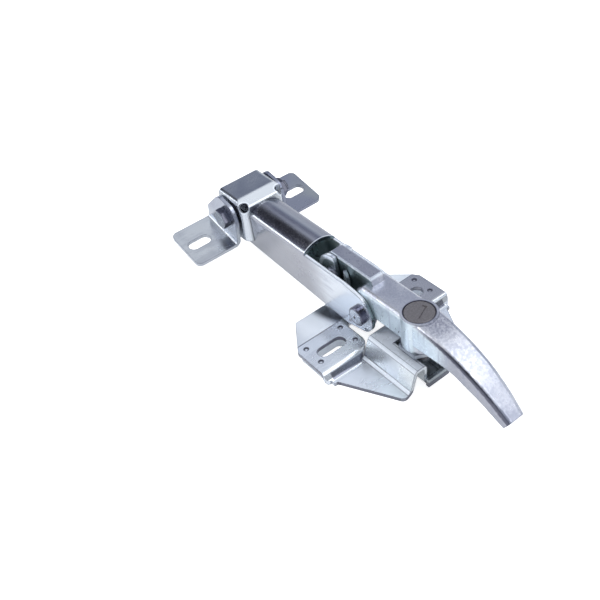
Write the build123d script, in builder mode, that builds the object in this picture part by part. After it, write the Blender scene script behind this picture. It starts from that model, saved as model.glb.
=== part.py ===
from build123d import *
from math import cos, radians, sin, tan
import os

# Over-centre hood latch, closed. Millimetres, +Z up, +X from the keeper towards the grip's tip,
# -Y is the near side. The origin is midway between the two bolt slots of the base bracket,
# on the plane that the bracket is bolted to.

# Pivots, as (x, z): the handle turns on the base, the arm on the handle, the keeper on the arm
base_pivot_x = -25.4
base_pivot_z = 37.0
link_pivot_x = 5.4
link_pivot_z = 26.2
keeper_pivot_x = -130.5
keeper_pivot_z = 37.5

# Clearances
running = 0.05
side_gap = 0.3
seat_gap = 0.1

# Base bracket, one pressed sheet
sheet = 2.5
bend = 3.0
pad_top = 8.5
slot_spacing = 67.0
slot_width = 9.0
slot_length = 21.0
pad_rear = -14.5
pad_front = 14.8
pad_outer = 52.5
pad_inner = 14.2
pad_corner = 10.0
pad_inner_round = 9.0
pad_outer_corner = 3.0
dimple_radius = 1.6
dimple_depth = 0.8
dimple_x = (-9.5, 5.5)
dimple_y = (18.6, 46.5)
wing_rear = -38.0
wing_slope = 12.0
wing_half_width = 34.4
step_run = 3.2
rib_rear = 16.4
trough_rear = 31.4
rib_front = 58.5
rib_top = 17.3
rib_foot = 21.5
rib_outer = 16.5
trough_half = 7.2
apron_half_width = 49.0
apron_shoulder_x = 22.4
apron_shoulder_cut = 3.1
apron_tip_x = 59.5
apron_tip_y = 26.8
apron_tip_round = 3.5
lip_height = 6.4
window_length = 16.8
window_height = 5.0
backing_thickness = 6.0
backing_margin = 2.2

# Ears of the base bracket
ear_inner = 5.2
ear_radius = 14.5
ear_foot_reach = 6.0
pin_radius = 4.0
pin_head_radius = 6.0
pin_head = 2.6
pin_edge = 0.7

# Handle, one casting
web_top = 46.7
wall = 2.8
handle_half = 10.7
nose_x = 0.5
web_rear = 7.5
flange_bottom = 29.5
link_boss_radius = 10.2
tongue_half = 4.75
tongue_boss_radius = 10.5
crown_start = 43.0
tip_x = 120.5
tip_top = 16.5
tip_half = 6.3
tip_height = 5.0
tip_wall = 12.0
tip_slant = 3.2
nose_drop = 4.0
# Half widths of the handle along its length, as (x, half width)
grip_widths = [(-5.0, 10.7), (46.0, 10.7), (62.0, 10.2), (92.0, 9.1), (108.0, 7.9), (122.5, 6.3)]
# Underside of the grip from the tip back to the flanges, as (x, z)
belly_points = [(117.3, 11.5), (103.0, 20.0), (89.0, 26.0), (74.0, 29.5)]
tongue_outline = [
    (-29.5, 52.3),
    (8.5, 52.3),
    (10.8, 45.0),
    (34.0, 45.0),
    (16.0, 30.0),
    (-24.0, 25.5),
    (-36.5, 39.0),
    (-35.6, 46.5),
]
grip_edge_radius = 3.0
lock_x = 45.5
lock_boss_radius = 11.6
lock_boss_bottom = 23.0

# Lock
face_radius = 9.4
face_thickness = 3.0
barrel_radius = 9.0
plug_radius = 6.6
barrel_bottom = 18.0
plug_bottom = 13.0
nut_thickness = 3.0
nut_flat = 11.5
cam_thickness = 2.5
cam_length = 13.0
cam_width = 8.0
cam_screw_radius = 3.6
cam_screw_head = 2.2
cam_screw_shank = 2.0
cam_screw_reach = 9.0
keyway_length = 11.6
keyway_width = 1.0
keyway_tick = 2.6
keyway_turn = 114.5
keyway_offset = 2.2
keyway_depth = 0.6

# Arm, one folded channel
arm_side_top = 43.6
arm_crown = 48.8
arm_rear = -143.0
arm_window = -48.5
arm_bottom_rear = 18.0
arm_bottom_front = 10.8
arm_end_radius = 12.2
arm_corner = 4.0
arm_floor_rear = -112.0
arm_floor_front = -57.0
arm_step = 0.6
arm_nose_x = -8.0
arm_shoulder_x = 6.6
arm_shoulder_z = 14.6
arm_shoulder_round = 12.0
arm_heel_round = 9.0
arm_rear_round = 8.0
rivet_shank = 4.0
rivet_head_radius = 6.6
rivet_head = 3.2
rivet_edge = 0.6
rivet_tail_radius = 5.6
rivet_tail = 1.6
arm_clearance = 0.2
centre_mark = 0.9

# Cap over the hinge end of the arm
cap_half = 18.0
cap_rear = -141.0
cap_front = -110.5
cap_top = 54.0
cap_break = -119.5
cap_lip = 50.4
cap_bottom = 21.5
cap_corner = 6.0
cap_edge = 3.5
relief_radius = 3.3

# Keeper: two angle feet on one hinge bolt, tilted on the pivot
keeper_tilt = 11.6
foot_sheet = 2.75
foot_half_length = 18.6
foot_outer = 56.0
foot_corner = 4.5
keeper_slot_edge = 13.0
keeper_slot_length = 18.0
keeper_ear_outer = 22.2
keeper_ear_top = 33.5
hinge_offset = 4.9
hinge_height = 19.8
bolt_radius = 4.0
sleeve_radius = 6.0
bolt_across_flats = 13.0
bolt_head = 5.0
nut_height = 6.5
hex_edge = 0.9
washer_radius = 8.0
washer = 1.4
bolt_tail = 3.0

os.makedirs("parts", exist_ok=True)


def side_disc(x, z, radius, y_from, y_to):
    """A round bar across the latch, from y_from to y_to."""
    start = Plane(origin=(x, y_from, z), x_dir=(1, 0, 0), z_dir=(0, 1, 0))
    return Solid.make_cylinder(radius, y_to - y_from, start)


def folded(plane, points, thickness, radius, side, depth, both=False):
    """A bent sheet: the line through points, thickened to one side and run along the normal."""
    with BuildPart() as strip:
        with BuildSketch(plane):
            with BuildLine():
                FilletPolyline(*points, radius=radius)
                offset(amount=thickness, side=side)
            make_face()
        extrude(amount=depth, both=both)
    return strip.part


def prism(plane, points, depth, both=False, rounds=()):
    """A straight block with the outline through points; rounds lists (corner number, radius)."""
    with BuildPart() as block:
        with BuildSketch(plane) as outline:
            with BuildLine():
                Polyline(*points, close=True)
            make_face()
            for corner, radius in rounds:
                near_first = outline.vertices().sort_by_distance(Vector(*points[corner]))
                fillet(near_first[0], radius=radius)
        extrude(amount=depth, both=both)
    return block.part


def write(piece, label):
    """Name one finished piece and write its file."""
    piece.part.label = label
    export_step(piece.part, f"parts/{label}.step")


# Base bracket
wing_drop = (pad_rear - wing_rear) * tan(radians(wing_slope))
pad_line = [
    (wing_rear, pad_top - wing_drop),
    (pad_rear, pad_top),
    (pad_front, pad_top),
    (pad_front + step_run, sheet),
    (pad_front + 2 * step_run, sheet),
]
front_line = [
    (-apron_half_width, sheet),
    (-rib_foot, sheet),
    (-rib_outer, rib_top),
    (-trough_half, rib_top),
    (-trough_half, sheet),
    (trough_half, sheet),
    (trough_half, rib_top),
    (rib_outer, rib_top),
    (rib_foot, sheet),
    (apron_half_width, sheet),
]
# The same section behind the trough, where one flat top spans both ribs
bridge_line = [corner for corner in front_line if abs(corner[0]) > trough_half]
ear_outer = ear_inner + sheet
ear_foot_front = pad_rear + ear_foot_reach
wing_direction = (-cos(radians(wing_slope)), 0, -sin(radians(wing_slope)))
flat_ear_section = Plane(origin=(ear_foot_front, 0, pad_top), x_dir=(0, -1, 0), z_dir=(-1, 0, 0))
wing_ear_section = Plane(origin=(pad_rear, 0, pad_top), x_dir=(0, -1, 0), z_dir=wing_direction)
ear_line = [(wing_half_width / 2, 0), (ear_outer, 0), (ear_outer, base_pivot_z + ear_radius)]

with BuildPart() as base_half:
    pad_width = pad_outer - ear_outer - bend
    add(folded(Plane.XZ.offset(ear_outer + bend), pad_line, sheet, bend, Side.RIGHT, pad_width))
    pad_outline = [
        (wing_rear - bend, -ear_outer - bend),
        (wing_rear, -wing_half_width),
        (pad_rear + 4.2, -pad_outer),
        (pad_front + step_run, -pad_outer),
        (pad_front + step_run, -apron_half_width),
        (pad_front + 2 * step_run, -apron_half_width),
        (pad_front + 2 * step_run, -pad_inner - pad_corner - 2.0),
        (pad_front + 1.2, -pad_inner - pad_corner),
        (pad_front - seat_gap, -pad_inner),
        (ear_foot_front, -pad_inner),
        (ear_foot_front, -ear_outer - bend),
    ]
    outer_step = min(abs(pad_outer - apron_half_width), step_run)
    pad_rounds = [(3, min(pad_outer_corner, outer_step - seat_gap)), (8, pad_inner_round), (9, bend)]
    pad_block = prism(Plane.XY.offset(-sheet), pad_outline, rib_top + 2 * sheet, rounds=pad_rounds)
    add(pad_block, mode=Mode.INTERSECT)

with BuildPart() as ear_half:
    add(folded(flat_ear_section, ear_line, sheet, bend, Side.LEFT, ear_foot_reach))
    add(folded(wing_ear_section, ear_line, sheet, bend, Side.LEFT, pad_rear - wing_rear))
    ear_foot_z = pad_top - wing_drop - sheet
    with BuildSketch(Plane.XZ, mode=Mode.PRIVATE) as ear_outline:
        with Locations((base_pivot_x, base_pivot_z)):
            Circle(ear_radius)
        with BuildLine():
            Polyline(
                (base_pivot_x - ear_radius, base_pivot_z),
                (wing_rear, pad_top),
                (wing_rear, ear_foot_z - sheet),
                (ear_foot_front, ear_foot_z - sheet),
                (ear_foot_front, pad_top),
                (base_pivot_x + ear_radius, base_pivot_z - ear_radius / 2),
                (base_pivot_x + ear_radius, base_pivot_z),
                close=True,
            )
        make_face()
    extrude(ear_outline.sketch, amount=pad_outer, mode=Mode.INTERSECT)
    with Locations(Plane(origin=(base_pivot_x, 0, base_pivot_z), x_dir=(1, 0, 0), z_dir=(0, -1, 0))):
        Cylinder(pin_radius + running, 2 * pad_outer, mode=Mode.SUBTRACT)

with BuildPart() as base_bracket:
    add(folded(Plane.YZ.offset(rib_rear), bridge_line, sheet, bend, Side.RIGHT, trough_rear - rib_rear))
    add(folded(Plane.YZ.offset(trough_rear), front_line, sheet, bend, Side.RIGHT, apron_tip_x - trough_rear))
    with Locations((trough_rear, 0, 0)):
        Box(sheet, 2 * (trough_half + sheet), rib_top, align=(Align.MAX, Align.CENTER, Align.MIN))
    front_outline = [
        (rib_rear, rib_foot + bend),
        (pad_front + step_run, rib_foot + bend),
        (pad_front + step_run, apron_half_width),
        (apron_shoulder_x, apron_half_width - apron_shoulder_cut),
        (apron_tip_x, apron_tip_y),
        (apron_tip_x - 0.8, rib_foot),
        (rib_front, rib_outer),
        (rib_front, trough_half + sheet),
    ]
    near_outline = [(x, -y) for x, y in reversed(front_outline)]
    whole_outline = front_outline + near_outline
    tips = [(i, apron_tip_round) for i, corner in enumerate(whole_outline) if corner[0] == apron_tip_x]
    front_block = prism(Plane.XY.offset(-sheet), whole_outline, rib_top + 2 * sheet, rounds=tips)
    add(front_block, mode=Mode.INTERSECT)
    add(base_half.part)
    add(ear_half.part)
    mirror(base_half.part, about=Plane.XZ)
    mirror(ear_half.part, about=Plane.XZ)
    # Front lip turned up from the floor of the trough
    with BuildSketch(Plane.XY):
        with Locations((rib_front + sheet / 2, 0)):
            Rectangle(sheet, 2 * trough_half + sheet)
    extrude(amount=lip_height)
    # Bolt slots in the two pads
    with BuildSketch(Plane.XY):
        with Locations((0, -slot_spacing / 2), (0, slot_spacing / 2)):
            SlotOverall(slot_length, slot_width, rotation=90)
    extrude(amount=rib_top, mode=Mode.SUBTRACT)
    # Dimples left by the weld points
    with BuildSketch(Plane.XY.offset(pad_top)):
        with Locations(*[(x, side * y) for x in dimple_x for y in dimple_y for side in (-1, 1)]):
            Circle(dimple_radius)
    extrude(amount=-dimple_depth, mode=Mode.SUBTRACT)
    # Window in the far rib's inner wall, which the lock's cam turns into
    cam_top = plug_bottom
    window_centre_z = cam_top - cam_thickness / 2
    window_x = lock_x - window_length / 2 + cam_width / 2 + 0.8
    with Locations((window_x, trough_half + sheet / 2, window_centre_z)):
        Box(window_length, 2 * sheet, window_height, mode=Mode.SUBTRACT)

# Backing plates under the pads, one on each side
with BuildPart() as near_backing_plate:
    backing_length = pad_front - pad_rear - 2 * backing_margin
    backing_width = pad_outer - pad_inner - 2 * backing_margin
    with BuildSketch(Plane.XY):
        with Locations(((pad_front + pad_rear) / 2, -(pad_outer + pad_inner) / 2)):
            RectangleRounded(backing_length, backing_width, pad_outer_corner)
        with Locations((0, -slot_spacing / 2)):
            SlotOverall(slot_length, slot_width, rotation=90, mode=Mode.SUBTRACT)
    extrude(amount=backing_thickness)
with BuildPart() as far_backing_plate:
    mirror(near_backing_plate.part, about=Plane.XZ)

# Pin that the handle turns on, headed over both ears
with BuildPart() as base_pivot_pin:
    add(side_disc(base_pivot_x, base_pivot_z, pin_radius, -ear_outer - pin_head, ear_outer + pin_head))
    add(side_disc(base_pivot_x, base_pivot_z, pin_head_radius, -ear_outer - pin_head, -ear_outer))
    add(side_disc(base_pivot_x, base_pivot_z, pin_head_radius, ear_outer, ear_outer + pin_head))
    rims = base_pivot_pin.edges().filter_by(GeomType.CIRCLE)
    chamfer(rims.group_by(Axis.Y)[0], length=pin_edge)

# Handle casting: the side view meets the plan view, then the underside is hollowed
link_rear = link_pivot_x - link_boss_radius
link_front = link_pivot_x + link_boss_radius
crown_drop = web_top - tip_top
crown_radius = ((tip_x - crown_start) ** 2 + crown_drop**2) / (2 * crown_drop)
hollow_end_x = tip_x - tip_wall
hollow_run = hollow_end_x - crown_start
hollow_end_z = web_top - crown_radius + ((crown_radius - wall) ** 2 - hollow_run**2) ** 0.5


def plan_view(inset):
    """The handle seen from above, its sides moved in by inset."""
    near_side = [(x, -half + inset) for x, half in grip_widths]
    far_side = [(x, half - inset) for x, half in reversed(grip_widths)]
    with BuildSketch(Plane.XY) as plan:
        with BuildLine():
            Polyline(*near_side)
            Polyline(*far_side)
            Line(near_side[0], far_side[-1])
            Line(near_side[-1], far_side[0])
        make_face()
    return plan.sketch


with BuildPart() as hollow:
    with BuildSketch(Plane.XZ):
        with BuildLine():
            Polyline((hollow_end_x, hollow_end_z), (hollow_end_x, 0), (link_rear - wall, 0))
            Line((link_rear - wall, 0), (link_rear - wall, web_top - wall))
            Line((link_rear - wall, web_top - wall), (crown_start, web_top - wall))
            TangentArc((crown_start, web_top - wall), (hollow_end_x, hollow_end_z), tangent=(1, 0))
        make_face()
    extrude(amount=handle_half, both=True)
    extrude(plan_view(wall), amount=web_top, mode=Mode.INTERSECT)

with BuildPart() as handle:
    with BuildSketch(Plane.XZ):
        with BuildLine():
            Polyline((nose_x, web_top - nose_drop), (web_rear - 2.0, web_top), (crown_start, web_top))
            TangentArc((crown_start, web_top), (tip_x, tip_top), tangent=(1, 0))
            Line((tip_x, tip_top), (tip_x - tip_slant, tip_top - tip_height))
            Spline(*belly_points, tangents=[(-1.0, 0.55), (-1.0, 0.0)])
            Polyline(belly_points[-1], (link_front + 2.0, flange_bottom), (link_front, link_pivot_z))
            RadiusArc((link_front, link_pivot_z), (link_rear, link_pivot_z), link_boss_radius)
            Line((link_rear, link_pivot_z), (nose_x, web_top - nose_drop))
        make_face()
    extrude(amount=lock_boss_radius, both=True)
    extrude(plan_view(0), amount=2 * web_top, mode=Mode.INTERSECT)
    crown = handle.faces().filter_by(lambda f: f.normal_at().Z > 0.4 and f.center().Z > tip_top)
    side_y = tip_half - grip_edge_radius
    rims = [edge for face in crown for edge in face.edges() if abs(edge.center().Y) > side_y]
    fillet(rims, radius=grip_edge_radius)
    add(hollow.part, mode=Mode.SUBTRACT)
    # Round boss that holds the lock, swelling out of both sides
    with BuildSketch(Plane.XY.offset(lock_boss_bottom)):
        with Locations((lock_x, 0)):
            Circle(lock_boss_radius)
    extrude(amount=web_top - lock_boss_bottom)
    # Raised tongue that runs back to the pivot on the base
    with BuildSketch(Plane.XZ):
        with BuildLine():
            Polyline(*tongue_outline, close=True)
        make_face()
        with Locations((base_pivot_x, base_pivot_z)):
            Circle(tongue_boss_radius)
    extrude(amount=tongue_half, both=True)
    # Bores for the pivot pin, the two link rivets and the lock
    pin_bore = side_disc(base_pivot_x, base_pivot_z, pin_radius + running, -handle_half, handle_half)
    add(pin_bore, mode=Mode.SUBTRACT)
    for side in (-1, 1):
        inner_y = side * (handle_half - wall - running)
        outer_y = side * (handle_half + running)
        low_y = min(inner_y, outer_y)
        high_y = max(inner_y, outer_y)
        rivet_bore = side_disc(link_pivot_x, link_pivot_z, rivet_shank + running, low_y, high_y)
        add(rivet_bore, mode=Mode.SUBTRACT)
    face_seat = face_thickness + seat_gap
    with Locations((lock_x, 0, web_top)):
        CounterBoreHole(barrel_radius + seat_gap, face_radius + side_gap, face_seat, 2 * web_top)

# Lock: fixed barrel, its nut, and the turning plug with its cam
face_bottom = web_top - face_thickness
with BuildPart() as lock_barrel:
    with BuildSketch(Plane.XY.offset(barrel_bottom)):
        with Locations((lock_x, 0)):
            Circle(barrel_radius)
            Circle(plug_radius + running, mode=Mode.SUBTRACT)
    extrude(amount=face_bottom - seat_gap - barrel_bottom)
    chamfer(lock_barrel.edges().group_by(Axis.Z)[0].sort_by(SortBy.LENGTH)[-1], length=0.6)

with BuildPart() as lock_nut:
    with BuildSketch(Plane.XY.offset(lock_boss_bottom - nut_thickness)):
        with Locations((lock_x, 0)):
            RegularPolygon(nut_flat, 6, major_radius=False)
            Circle(barrel_radius + seat_gap / 2, mode=Mode.SUBTRACT)
    extrude(amount=nut_thickness)

with BuildPart() as lock_plug:
    with BuildSketch(Plane.XY.offset(face_bottom)):
        with Locations((lock_x, 0)):
            Circle(face_radius)
    extrude(amount=face_thickness)
    chamfer(lock_plug.edges().group_by(Axis.Z)[-1], length=0.4)
    with BuildSketch(Plane.XY.offset(plug_bottom)):
        with Locations((lock_x, 0)):
            Circle(plug_radius)
    extrude(amount=face_bottom - plug_bottom)
    # Keyway beside the middle of the face, with a short tick at its far end
    keyway = Plane(origin=(lock_x, 0, web_top), z_dir=(0, 0, 1)).rotated((0, 0, keyway_turn))
    with BuildSketch(keyway):
        with Locations((0, -keyway_offset)):
            Rectangle(keyway_length, keyway_width)
        with Locations(((keyway_length - keyway_width) / 2, keyway_tick / 2 - keyway_offset)):
            Rectangle(keyway_width, keyway_tick)
    extrude(amount=-keyway_depth, mode=Mode.SUBTRACT)
    with Locations(Plane(origin=(lock_x, 0, plug_bottom), z_dir=(0, 0, -1))):
        Hole(cam_screw_shank, cam_screw_reach)

with BuildPart() as lock_cam:
    with BuildSketch(Plane.XY.offset(plug_bottom - cam_thickness)):
        with Locations((lock_x, 0)):
            Circle(plug_radius)
        with Locations((lock_x - cam_length / 2, 0)):
            Rectangle(cam_length, cam_width)
        with Locations((lock_x, 0)):
            Circle(cam_screw_shank + seat_gap, mode=Mode.SUBTRACT)
    extrude(amount=cam_thickness)

with BuildPart() as cam_screw:
    cam_bottom = plug_bottom - cam_thickness
    with BuildSketch(Plane.XY.offset(cam_bottom - cam_screw_head)):
        with Locations((lock_x, 0)):
            Circle(cam_screw_radius)
    extrude(amount=cam_screw_head)
    with BuildSketch(Plane.XY.offset(cam_bottom)):
        with Locations((lock_x, 0)):
            Circle(cam_screw_shank)
    extrude(amount=cam_thickness + cam_screw_reach - 1.0)
    with BuildSketch(Plane.XY.offset(cam_bottom - cam_screw_head)):
        with Locations((lock_x, 0)):
            Rectangle(2 * cam_screw_radius, 0.9)
    extrude(amount=1.0, mode=Mode.SUBTRACT)

# Arm: a folded channel with an arched top, its top cut away at the handle's end
arm_inner = handle_half + arm_clearance
arm_half = arm_inner + sheet
arm_length = link_pivot_x + arm_end_radius - arm_rear


def arm_section(half, side_top, crown_top, corner):
    """The channel's outside or inside outline, from well below the arm up to the arch."""
    with BuildSketch(Plane.YZ.offset(arm_rear)) as section:
        with BuildLine():
            Polyline((-half, side_top), (-half, 0), (half, 0), (half, side_top))
            ThreePointArc((half, side_top), (0, crown_top), (-half, side_top))
        make_face()
        fillet(section.vertices().group_by(Axis.Z)[-1], radius=corner)
    return section.sketch


with BuildPart() as arm_channel:
    extrude(arm_section(arm_half, arm_side_top, arm_crown, arm_corner), amount=arm_length)
    inner_top = arm_side_top - sheet / 2
    extrude(
        arm_section(arm_inner, inner_top, arm_crown - sheet, arm_corner - sheet / 2),
        amount=arm_length,
        mode=Mode.SUBTRACT,
    )
    # Past the top's cut edge the flanges stand straight, clear of the handle between them
    with BuildSketch(Plane.YZ.offset(arm_window)):
        Rectangle(2 * arm_inner, arm_crown + sheet, align=(Align.CENTER, Align.MIN))
    extrude(amount=arm_length, mode=Mode.SUBTRACT)
    arm_outline = [
        (arm_rear, arm_bottom_rear),
        (arm_rear, arm_crown + sheet),
        (arm_window, arm_crown + sheet),
        (arm_window, arm_side_top - arm_step),
        (arm_nose_x, arm_side_top - arm_step),
        (link_pivot_x + arm_shoulder_x, link_pivot_z + arm_shoulder_z),
        (link_pivot_x + arm_end_radius * 0.85, link_pivot_z + arm_end_radius * 0.52),
        (link_pivot_x, link_pivot_z),
        (link_pivot_x + arm_end_radius * 0.34, link_pivot_z - arm_end_radius * 0.94),
        (link_pivot_x - arm_end_radius, arm_bottom_front),
    ]
    with BuildSketch(Plane.XZ, mode=Mode.PRIVATE) as arm_side:
        with BuildLine():
            Polyline(*arm_outline, close=True)
        make_face()
        for corner, radius in ((0, arm_rear_round), (5, arm_shoulder_round), (9, arm_heel_round)):
            near_first = arm_side.vertices().sort_by_distance(Vector(*arm_outline[corner]))
            fillet(near_first[0], radius=radius)
        with Locations((link_pivot_x, link_pivot_z)):
            Circle(arm_end_radius)
    extrude(arm_side.sketch, amount=2 * arm_half, both=True, mode=Mode.INTERSECT)
    # Floor that closes the channel between the hinge and the window
    arm_rise = (arm_bottom_rear - arm_bottom_front) / (link_pivot_x - arm_end_radius - arm_rear)
    floor_rear_z = arm_bottom_rear - arm_rise * (arm_floor_rear - arm_rear)
    floor_front_z = arm_bottom_rear - arm_rise * (arm_floor_front - arm_rear)
    floor_side = [
        (arm_floor_rear, floor_rear_z),
        (arm_floor_front, floor_front_z),
        (arm_floor_front, floor_front_z + sheet),
        (arm_floor_rear, floor_rear_z + sheet),
    ]
    add(prism(Plane.XZ, floor_side, arm_half - sheet / 2, both=True))
    link_bore = side_disc(link_pivot_x, link_pivot_z, rivet_shank + running, -2 * arm_half, 2 * arm_half)
    add(link_bore, mode=Mode.SUBTRACT)
    sleeve_bore_radius = sleeve_radius + running
    sleeve_bore = side_disc(keeper_pivot_x, keeper_pivot_z, sleeve_bore_radius, -2 * arm_half, 2 * arm_half)
    add(sleeve_bore, mode=Mode.SUBTRACT)
    mark_x = link_pivot_x + 0.45 * arm_end_radius
    mark_z = link_pivot_z - 0.72 * arm_end_radius
    add(side_disc(mark_x, mark_z, centre_mark, -arm_half, -arm_half + centre_mark), mode=Mode.SUBTRACT)

# Link rivets, one on each side, with a flat head outside and a formed head inside
handle_inner = handle_half - wall
with BuildPart() as near_link_rivet:
    add(side_disc(link_pivot_x, link_pivot_z, rivet_head_radius, -arm_half - rivet_head, -arm_half))
    chamfer(near_link_rivet.edges().group_by(Axis.Y)[0], length=rivet_edge)
    add(side_disc(link_pivot_x, link_pivot_z, rivet_shank, -arm_half, -handle_inner + seat_gap))
    tail_start = seat_gap - handle_inner
    tail_end = rivet_tail - handle_inner
    add(side_disc(link_pivot_x, link_pivot_z, rivet_tail_radius, tail_start, tail_end))
    head_top = -arm_half - rivet_head
    dimple_end = head_top + rivet_head / 2
    dimple = side_disc(link_pivot_x - 1.0, link_pivot_z - 1.0, centre_mark, head_top, dimple_end)
    add(dimple, mode=Mode.SUBTRACT)
with BuildPart() as far_link_rivet:
    mirror(near_link_rivet.part, about=Plane.XZ)

# Cap over the arm's hinge end: folded box with relief holes at its front corners
def cap_block(inset, opening):
    """The cap's outside, or its hollow when moved in by inset and run out through the rear and below."""
    rear = cap_rear - opening
    bottom = cap_bottom - opening
    front = cap_front - inset
    half = cap_half - inset
    side_view = [
        (rear, bottom),
        (rear, cap_top - inset),
        (cap_break, cap_top - inset),
        (front, cap_lip - inset),
        (front, bottom),
    ]
    end_view = [(-half, bottom), (-half, cap_top - inset), (half, cap_top - inset), (half, bottom)]
    top_view = [(rear, -half), (front, -half), (front, half), (rear, half)]
    edge_rounds = ((1, cap_edge - inset / 2), (2, cap_edge - inset / 2))
    corner_rounds = ((1, cap_corner - inset), (2, cap_corner - inset))
    with BuildPart() as block:
        add(prism(Plane.XZ, side_view, half, both=True, rounds=((2, 6.0), (3, 2.0))))
        add(prism(Plane.YZ.offset(rear), end_view, front - rear, rounds=edge_rounds), mode=Mode.INTERSECT)
        add(prism(Plane.XY, top_view, cap_top, rounds=corner_rounds), mode=Mode.INTERSECT)
    return block.part


with BuildPart() as hinge_cap:
    add(cap_block(0, 0))
    add(cap_block(sheet, sheet), mode=Mode.SUBTRACT)
    channel = arm_section(arm_half, arm_side_top, arm_crown, arm_corner)
    extrude(channel, amount=arm_length, mode=Mode.SUBTRACT)
    for side in (-1, 1):
        corner = Plane(
            origin=(cap_front - cap_corner * 0.45, side * (cap_half - cap_corner * 0.45), cap_lip - 0.6),
            z_dir=(0.55, side * 0.6, 0.58),
        )
        relief = Solid.make_cylinder(relief_radius, 2 * cap_corner, corner.offset(-cap_corner))
        add(relief, mode=Mode.SUBTRACT)
    add(sleeve_bore, mode=Mode.SUBTRACT)

# Keeper feet: folded angles, each with a bolt slot and an ear for the hinge bolt
tilt_cos = cos(radians(keeper_tilt))
tilt_sin = sin(radians(keeper_tilt))
keeper_x = keeper_pivot_x - hinge_offset * tilt_cos - hinge_height * tilt_sin
keeper_z = keeper_pivot_z + hinge_offset * tilt_sin - hinge_height * tilt_cos
keeper_along = (tilt_cos, 0, -tilt_sin)
keeper = Plane(origin=(keeper_x, 0, keeper_z), x_dir=keeper_along, z_dir=(tilt_sin, 0, tilt_cos))
foot_section = Plane(origin=keeper.origin, x_dir=(0, 1, 0), z_dir=keeper.x_dir)
ear_view = Plane(origin=keeper.origin, x_dir=keeper.x_dir, z_dir=(0, -1, 0))
keeper_ear_inner = keeper_ear_outer - foot_sheet

with BuildPart() as near_keeper_foot:
    foot_line = [
        (-foot_outer, foot_sheet),
        (-keeper_ear_outer, foot_sheet),
        (-keeper_ear_outer, keeper_ear_top),
    ]
    add(folded(foot_section, foot_line, foot_sheet, bend - 1.0, Side.RIGHT, foot_half_length, both=True))
    ear_outline = [
        (-foot_half_length, -foot_sheet),
        (-foot_half_length, 14.0),
        (-4.0, keeper_ear_top),
        (hinge_offset + 9.0, keeper_ear_top),
        (foot_half_length, hinge_height + 2.0),
        (foot_half_length, -foot_sheet),
    ]
    ear_block = prism(ear_view, ear_outline, foot_outer, rounds=((1, 4.0), (2, 8.0), (3, 8.0), (4, 8.0)))
    add(ear_block, mode=Mode.INTERSECT)
    outer_edges = near_keeper_foot.edges().filter_by(lambda e: abs(e.length - foot_sheet) < running)
    corners = outer_edges.group_by(Axis.Y)[0]
    fillet(corners, radius=foot_corner)
    with BuildSketch(keeper):
        with Locations((0, keeper_slot_edge - foot_outer)):
            SlotOverall(keeper_slot_length, slot_width, rotation=90)
    extrude(amount=2 * foot_sheet, mode=Mode.SUBTRACT)
    add(
        side_disc(keeper_pivot_x, keeper_pivot_z, bolt_radius + seat_gap, -foot_outer, 0),
        mode=Mode.SUBTRACT,
    )
with BuildPart() as far_keeper_foot:
    mirror(near_keeper_foot.part, about=Plane.XZ)

# Hinge bolt, its nut, the sleeve that the arm turns on, and the side washers
with BuildPart() as hinge_sleeve:
    add(side_disc(keeper_pivot_x, keeper_pivot_z, sleeve_radius, -keeper_ear_inner, keeper_ear_inner))
    bore_radius = bolt_radius + seat_gap
    bore = side_disc(keeper_pivot_x, keeper_pivot_z, bore_radius, -keeper_ear_inner, keeper_ear_inner)
    add(bore, mode=Mode.SUBTRACT)


def turned_blank(radius, y_from, y_to):
    """A round bar on the hinge axis with both rims cut back."""
    with BuildPart() as blank:
        add(side_disc(keeper_pivot_x, keeper_pivot_z, radius, y_from, y_to))
        chamfer(blank.edges().filter_by(GeomType.CIRCLE), length=hex_edge, length2=hex_edge / 2)
    return blank.part


def hex_bar(across_flats, y_from, y_to):
    """A hexagon on the hinge axis, from y_from to y_to, with its corners turned down."""
    with BuildPart() as bar:
        start = Plane(origin=(keeper_pivot_x, y_from, keeper_pivot_z), x_dir=(1, 0, 0), z_dir=(0, 1, 0))
        with BuildSketch(start):
            RegularPolygon(across_flats / 2, 6, major_radius=False)
        extrude(amount=y_to - y_from)
        add(turned_blank(across_flats / 2 / cos(radians(30)), y_from, y_to), mode=Mode.INTERSECT)
    return bar.part


with BuildPart() as hinge_bolt:
    add(hex_bar(bolt_across_flats, -keeper_ear_outer - bolt_head, -keeper_ear_outer))
    bolt_end = keeper_ear_outer + nut_height + bolt_tail
    add(side_disc(keeper_pivot_x, keeper_pivot_z, bolt_radius, -keeper_ear_outer, bolt_end))

with BuildPart() as hinge_nut:
    add(hex_bar(bolt_across_flats, keeper_ear_outer, keeper_ear_outer + nut_height))
    nut_bore = side_disc(
        keeper_pivot_x, keeper_pivot_z, bolt_radius + running, keeper_ear_outer, keeper_ear_outer + nut_height
    )
    add(nut_bore, mode=Mode.SUBTRACT)

with BuildPart() as near_hinge_washer:
    washer_end = -keeper_ear_inner + washer
    add(side_disc(keeper_pivot_x, keeper_pivot_z, washer_radius, -keeper_ear_inner, washer_end))
    washer_bore = side_disc(
        keeper_pivot_x, keeper_pivot_z, sleeve_radius + seat_gap, -keeper_ear_inner, washer_end
    )
    add(washer_bore, mode=Mode.SUBTRACT)
with BuildPart() as far_hinge_washer:
    mirror(near_hinge_washer.part, about=Plane.XZ)

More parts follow.
